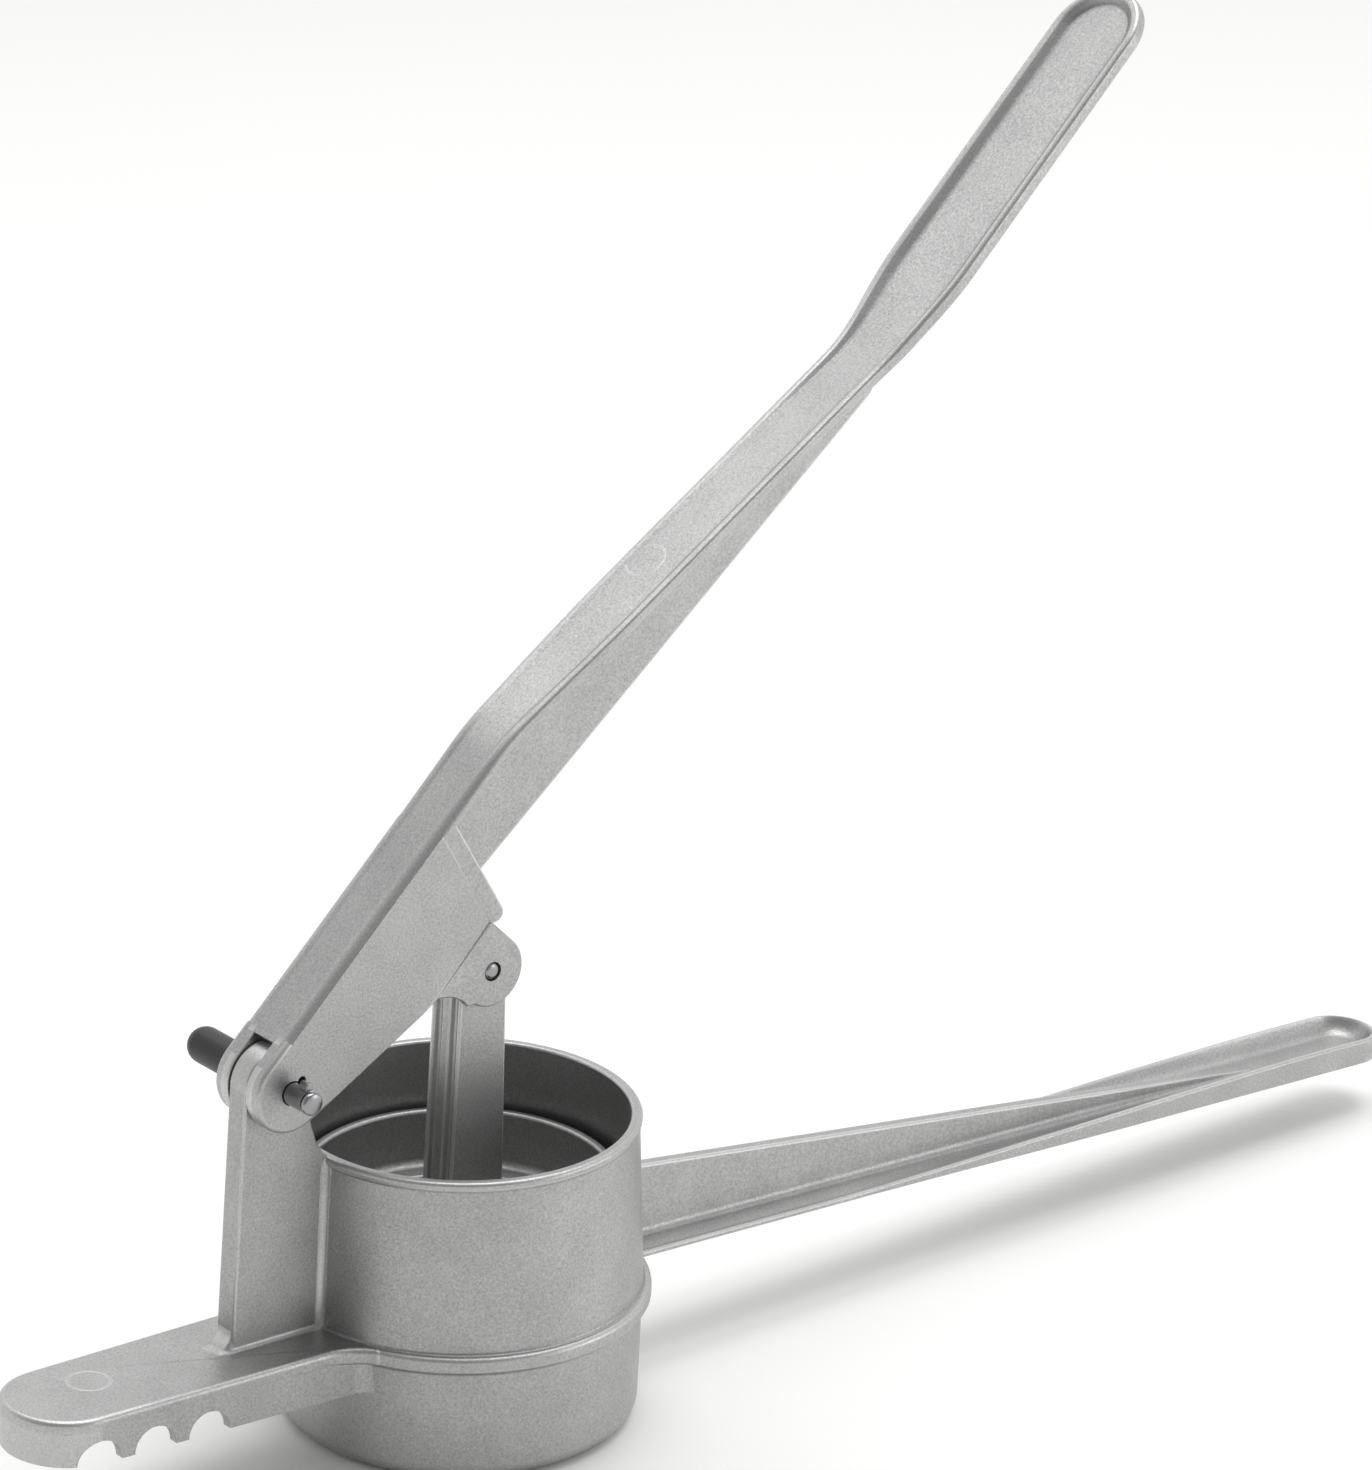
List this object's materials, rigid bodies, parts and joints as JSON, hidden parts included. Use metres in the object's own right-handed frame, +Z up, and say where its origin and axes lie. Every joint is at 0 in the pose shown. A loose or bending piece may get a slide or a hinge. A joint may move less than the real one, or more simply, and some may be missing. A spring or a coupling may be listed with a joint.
{
  "type": "potato ricer",
  "caption": "Cast aluminium hand press for cooked potatoes: round perforated cup, hinged lever with a plunger, long fixed handle and a notched nose that rests on a pot.",
  "frame": {"origin": "on the cup's axis, in the plane of the perforated base that the cup stands on", "axes": "+X towards the fixed handle's end, +Z up along the cup's axis, +Y towards the black cap of the hinge pin"},
  "size_m": [0.4288, 0.0902, 0.3141],
  "materials": {
    "cast_aluminium": "matte silver grey, fine blasted grain",
    "steel": "bright turned steel",
    "black_plastic": "satin black"
  },
  "bodies": {
    "body": {"cup_wall": "cast_aluminium", "sieve_base": "cast_aluminium", "pot_rest": "cast_aluminium", "hinge_post": "cast_aluminium", "handle_flange": "cast_aluminium", "handle_web": "cast_aluminium", "handle_trough": "cast_aluminium"},
    "lever": {"lever_cheek_near": "cast_aluminium", "lever_cheek_far": "cast_aluminium", "lever_flange": "cast_aluminium", "lever_end_wall": "cast_aluminium", "lever_web": "cast_aluminium", "lever_grip": "cast_aluminium", "plunger_rivet": "steel"},
    "plunger": {"plunger_stem": "cast_aluminium", "piston_floor": "cast_aluminium", "piston_skirt": "cast_aluminium"},
    "hinge_pin": {"hinge_pin": "steel", "pin_key": "steel", "pin_cap": "black_plastic"}
  },
  "joints": [
    {"name": "lever_press", "type": "hinge", "parent": "body", "child": "lever", "pos_m": [-0.0548, 0, 0.0964], "axis": [0, 1, 0], "range_deg": [-3, 33]},
    {"name": "plunger_swing", "type": "hinge", "parent": "lever", "child": "plunger", "pos_m": [0.0022, 0, 0.1117], "axis": [0, 1, 0], "range_deg": [-34, 4]},
    {"name": "pin_twist", "type": "hinge", "parent": "body", "child": "hinge_pin", "pos_m": [-0.0548, 0, 0.0964], "axis": [0, 1, 0], "range_deg": [0, 43]}
  ],
  "couplings": [
    {"joint": "plunger_swing", "follows": "lever_press", "ratio": -1}
  ]
}
